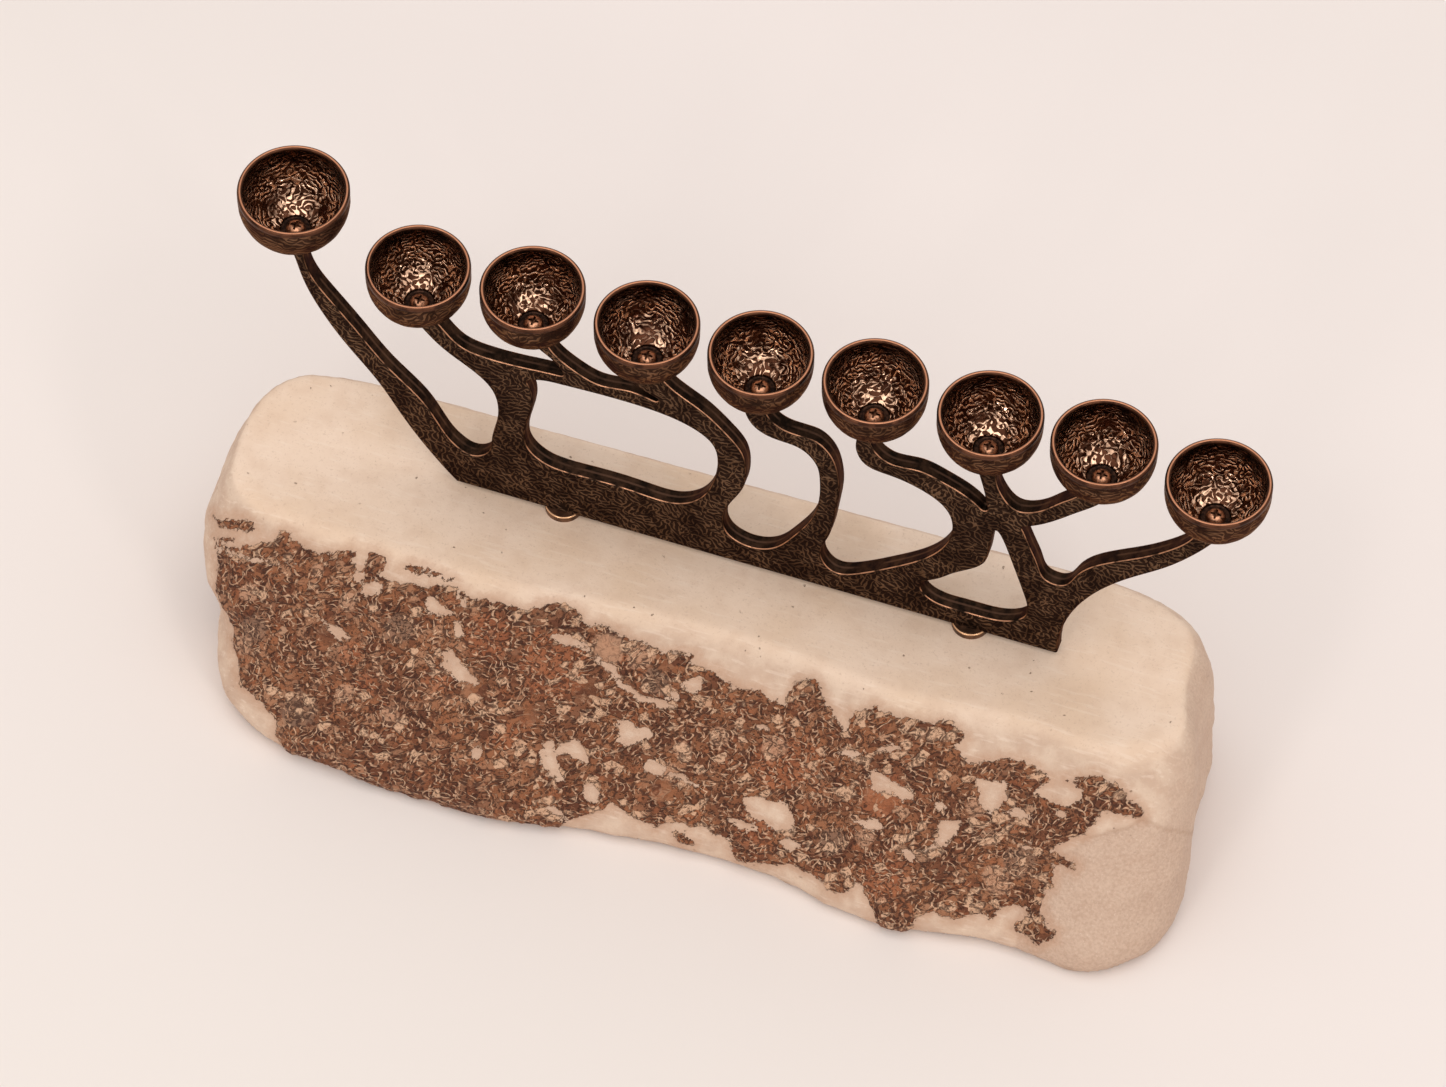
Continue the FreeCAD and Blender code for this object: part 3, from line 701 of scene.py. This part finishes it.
# The block's surface, in millimetres: its grid, its hollows with their width, height, depth and
# the tone that stays level, and the waves and grit on it.
grid_size = 1.7
hollow_size = (26, 26, 17)
hollow_depth = 2.4
hollow_level = 0.28
wave_size, wave_height = 9, 0.5
grit_size, grit_height = 3.5, 0.25
# How far the split sides, the rough end and the front of the top are sunk.
side_sink = 0.5
rough_sink = 0.5
front_sink = 0.6
# How far the crust stands over the split sides, and the lumps on it.
crust_rise = 0.7
lump_sizes = ((6, 1.0), (3, 0.8))
# Hollows start under the top's edge and are full this far down.
hollows_start, hollows_full = 1 * MM, 15 * MM
# What faces back by more than this share, or lies further back than this, bears no crust; on the
# underside it is drawn in by this much.
crust_facing = 0.35
crust_back = 30
crust_fade = 8
# Between which two values each of these sets in, for soft() below: the honed top and the underside
# by how steeply they face, the crust and the rough end over their drawn edges, and a zone over its
# radius.
honed_from = (0.80, 0.97)
under_from = (0.6, 0.9)
crust_from = (-0.6, 0.9)
rough_from = (-0.5, 0.5)
zone_from = (1.5, 0.5)
# The painted shade of the ledge lies along the rough end's edge, and only this far up.
ledge_from = (1.4, 0.2)
ledge_up_from = (-68, -61)
# The right end is rough too, by this share, from how it faces and where it stands.
right_roughness = 0.8
right_facing_from = (0.45, 0.75)
right_place_from = (120, 150)
# The top is sunk towards its front from here on.
front_from = (2, 24)


def sides(lines):
    """The sides of closed lines, sorted into strips of across so that near ones are soon found."""
    strips = {}
    for line in lines:
        for a, b in zip(line, line[1:] + line[:1]):
            first = int((min(a[0], b[0]) - line_reach) // strip_width)
            last = int((max(a[0], b[0]) + line_reach) // strip_width)
            for strip in range(first, last + 1):
                strips.setdefault(strip, []).append((a, b))
    return strips


def depth_inside(strips, across, up):
    """How far a point lies inside the lines' edge, no more than line_reach either way."""
    nearest = line_reach ** 2
    inside = False
    for (ax, ay), (bx, by) in strips.get(int(across // strip_width), ()):
        if (ax > across) != (bx > across) and up < ay + (by - ay) * (across - ax) / (bx - ax):
            inside = not inside
        run, rise = bx - ax, by - ay
        share = held(((across - ax) * run + (up - ay) * rise) / (run * run + rise * rise or 1))
        nearest = min(nearest, (across - ax - share * run) ** 2 + (up - ay - share * rise) ** 2)
    return math.sqrt(nearest) * (1 if inside else -1)


def soft(value, start, end):
    """0 up to start, 1 from end on, and smooth between them; start may be the larger."""
    share = held((value - start) / (end - start))
    return share * share * (3 - 2 * share)


def gridded_block():
    """The block's solid as a bmesh of even, small faces."""
    bm = bmesh.new()
    bm.from_mesh(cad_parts["stone_base"].data)
    bmesh.ops.remove_doubles(bm, verts=bm.verts, dist=weld)
    rough = piece(bm, "limestone_rough")
    remesh = rough.modifiers.new("grid", "REMESH")
    remesh.mode = "VOXEL"
    remesh.voxel_size = grid_size * MM
    remesh.use_smooth_shade = True
    graph = bpy.context.evaluated_depsgraph_get()
    mesh = bpy.data.meshes.new_from_object(rough.evaluated_get(graph))
    bpy.data.objects.remove(rough)
    bm = bmesh.new()
    bm.from_mesh(mesh)
    bpy.data.meshes.remove(mesh)
    return bm


def make_block():
    """The limestone: honed top, split sides, and the crust proud on the front."""
    bm = gridded_block()
    low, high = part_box("stone_base")
    layers = {name: bm.verts.layers.float.new(name)
              for name in ("crust", "honed", "rough", "ledge_shade", *crust_zones)}
    crust_sides = sides(crust_lines)
    rough_sides = sides([rough_end])
    bm.normal_update()
    moves = []
    for v in bm.verts:
        p = v.co * MM_PER_METRE
        seen = (v.co - row) * MM_PER_METRE
        across, up = seen.dot(view_across), seen.dot(view_up)
        flat_top = soft(v.normal.z, *honed_from)
        under = soft(-v.normal.z, *under_from)
        side = (1 - flat_top) * (1 - under)
        depth = -line_reach
        raw = 0.0
        if v.normal.y < crust_facing and p.y < crust_back:
            depth = depth_inside(crust_sides, across, up)
            for name, spots in crust_zones.items():
                v[layers[name]] = max(soft(math.hypot(across - a, up - u) / radius, *zone_from)
                                      for a, u, radius in spots)
            end = depth_inside(rough_sides, across, up)
            raw = soft(end, *rough_from) * side
            # A band of painted shade along the ledge.
            v[layers["ledge_shade"]] = (soft(abs(end), *ledge_from) * side
                                  * soft(up, *ledge_up_from))
        right_end = soft(v.normal.x, *right_facing_from) * side * soft(p.x, *right_place_from)
        raw = max(raw, right_end * right_roughness)
        v[layers["crust"]] = depth - under * crust_fade
        v[layers["honed"]] = flat_top
        v[layers["rough"]] = raw
        hollow = noise.voronoi([part / size for part, size in zip(p, hollow_size)])[0][0] ** 2
        below = soft(high.z - v.co.z, hollows_start, hollows_full)
        wave = noise.noise(p / wave_size) * wave_height
        sunk = side * below * ((hollow_level - hollow) * hollow_depth + wave)
        sunk += side * noise.noise(p / grit_size) * grit_height
        crusted = soft(depth, *crust_from) * (1 - flat_top)
        lumps = sum(abs(noise.noise(p / size)) * height for size, height in lump_sizes)
        sunk += side * side_sink + raw * rough_sink - crusted * side * (crust_rise + lumps)
        sunk += soft(-p.y, *front_from) * flat_top * front_sink
        moves.append((v, v.normal * -sunk * MM))
    for v, move in moves:
        v.co += move
        for axis in range(3):
            v.co[axis] = min(high[axis], max(low[axis], v.co[axis]))
    made = piece(bm, "limestone_block", limestone())
    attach(made, "root")
    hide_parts("stone_base")


# The pieces that keep their solid's shape

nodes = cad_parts


def dress(material, *names):
    """Gives the named pieces this material alone."""
    for name in names:
        nodes[name].data.materials.clear()
        nodes[name].data.materials.append(material)


frame_low, frame_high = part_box("branch_frame")
dress(cast_bronze("cast_bronze", (frame_low.y + frame_high.y) / 2), "branch_frame")
dress(screw_copper(), "bowl_screws")
dress(spacer_bronze(), "foot_spacer_left", "foot_spacer_right")
dress(zinc_steel(), "anchor_studs", "anchor_washers", "anchor_nuts")
dress(pressed_felt(), "felt_pad_front_left", "felt_pad_front_right", "felt_pad_back_left",
      "felt_pad_back_right")

make_block()
bowl_finishes = (bowl_outside(), bowl_inside(), rim_copper(), spot_face())
for seed, node in enumerate(sorted(name for name in nodes if name.endswith("_bowl"))):
    make_bowl(node, seed, bowl_finishes)


# The floor, the light and the camera

floor_size = 6.0
# The lamps: name, turn from the front to the right and height over the floor in degrees, distance,
# size and power; and what they all aim at.
lamps = [
    ("left_softbox", -12, 28, 5.0, 0.8, 26.0),
    ("right_softbox", 50, 28, 5.0, 0.8, 26.0),
    ("overhead_softbox", 10, 82, 6.0, 6.0, 140.0),
]
lamp_colour = (1.0, 0.97, 0.94)
lamp_aim = Vector((0, 0, 0.12))
# The backdrop as it is seen and mirrored, and the light that it sheds.
backdrop_colour, backdrop_strength = paint(240, 231, 227), 0.9
fill_colour, fill_strength = (1.0, 0.975, 0.955, 1.0), 0.70
# The camera: its turns, its lens, given as the pixels of a picture this wide, and where it stands
# from the foot of the middle bowl's axis.
camera_yaw, camera_pitch, camera_roll = -0.319239, 0.981217, 0.0113616
lens_pixels, picture_pixels = 8000, 1446
sensor_width = 36.0
camera_place = Vector((0.55152, -1.71301, 2.7909))


def make_floor():
    """A pale floor that takes the shadow."""
    bm = bmesh.new()
    bmesh.ops.create_grid(bm, x_segments=1, y_segments=1, size=floor_size)
    f = Finish("studio_floor")
    tint = f.mix(f.noise(1.2, 1.0).ramp(0.3, 0.7), paint(239, 229, 225), paint(237, 228, 222))
    floor = piece(bm, "studio_floor", f.surface(Base_Color=tint, Roughness=0.9))


def make_lamp(name, azimuth, elevation, distance, size, power):
    """A soft square lamp that faces the block."""
    a, e = math.radians(azimuth), math.radians(elevation)
    way = Vector((math.sin(a) * math.cos(e), -math.cos(a) * math.cos(e), math.sin(e)))
    data = bpy.data.lights.new(name, "AREA")
    data.shape = "SQUARE"
    data.size = size
    data.energy = power
    data.color = lamp_colour
    lamp = bpy.data.objects.new(name, data)
    lamp.location = lamp_aim + way * distance
    lamp.rotation_euler = way.to_track_quat("Z", "Y").to_euler()
    bpy.context.scene.collection.objects.link(lamp)


def make_world():
    """A pale backdrop where it is seen or mirrored, and a softer fill light elsewhere."""
    world = bpy.data.worlds.new("studio")
    world.use_nodes = True
    tree = world.node_tree
    tree.nodes.clear()
    path = tree.nodes.new("ShaderNodeLightPath")
    seen = tree.nodes.new("ShaderNodeMath")
    seen.operation = "MAXIMUM"
    tree.links.new(path.outputs["Is Camera Ray"], seen.inputs[0])
    tree.links.new(path.outputs["Is Glossy Ray"], seen.inputs[1])
    shine = tree.nodes.new("ShaderNodeBackground")
    shine.inputs["Color"].default_value = backdrop_colour
    shine.inputs["Strength"].default_value = backdrop_strength
    fill = tree.nodes.new("ShaderNodeBackground")
    fill.inputs["Color"].default_value = fill_colour
    fill.inputs["Strength"].default_value = fill_strength
    both = tree.nodes.new("ShaderNodeMixShader")
    tree.links.new(seen.outputs[0], both.inputs[0])
    tree.links.new(fill.outputs[0], both.inputs[1])
    tree.links.new(shine.outputs[0], both.inputs[2])
    out = tree.nodes.new("ShaderNodeOutputWorld")
    tree.links.new(both.outputs[0], out.inputs[0])
    bpy.context.scene.world = world


def make_camera():
    """A long lens to the right of the front, looking down on the block."""
    level = math.cos(camera_pitch)
    ahead = Vector((math.sin(camera_yaw) * level, math.cos(camera_yaw) * level,
                    -math.sin(camera_pitch)))
    right = Vector((math.cos(camera_yaw), -math.sin(camera_yaw), 0))
    up = right.cross(ahead)
    right, up = (right * math.cos(camera_roll) + up * math.sin(camera_roll),
                 up * math.cos(camera_roll) - right * math.sin(camera_roll))
    data = bpy.data.cameras.new("camera")
    data.sensor_width = sensor_width
    data.lens = lens_pixels / picture_pixels * sensor_width
    data.clip_end = 50.0
    camera = bpy.data.objects.new("camera", data)
    turn = Matrix((right, up, -ahead)).transposed().to_4x4()
    camera.matrix_world = Matrix.Translation(row + camera_place) @ turn
    bpy.context.scene.collection.objects.link(camera)
    bpy.context.scene.camera = camera


make_floor()
for lamp in lamps:
    make_lamp(*lamp)
make_world()
make_camera()
bpy.context.scene.view_settings.view_transform = "Standard"
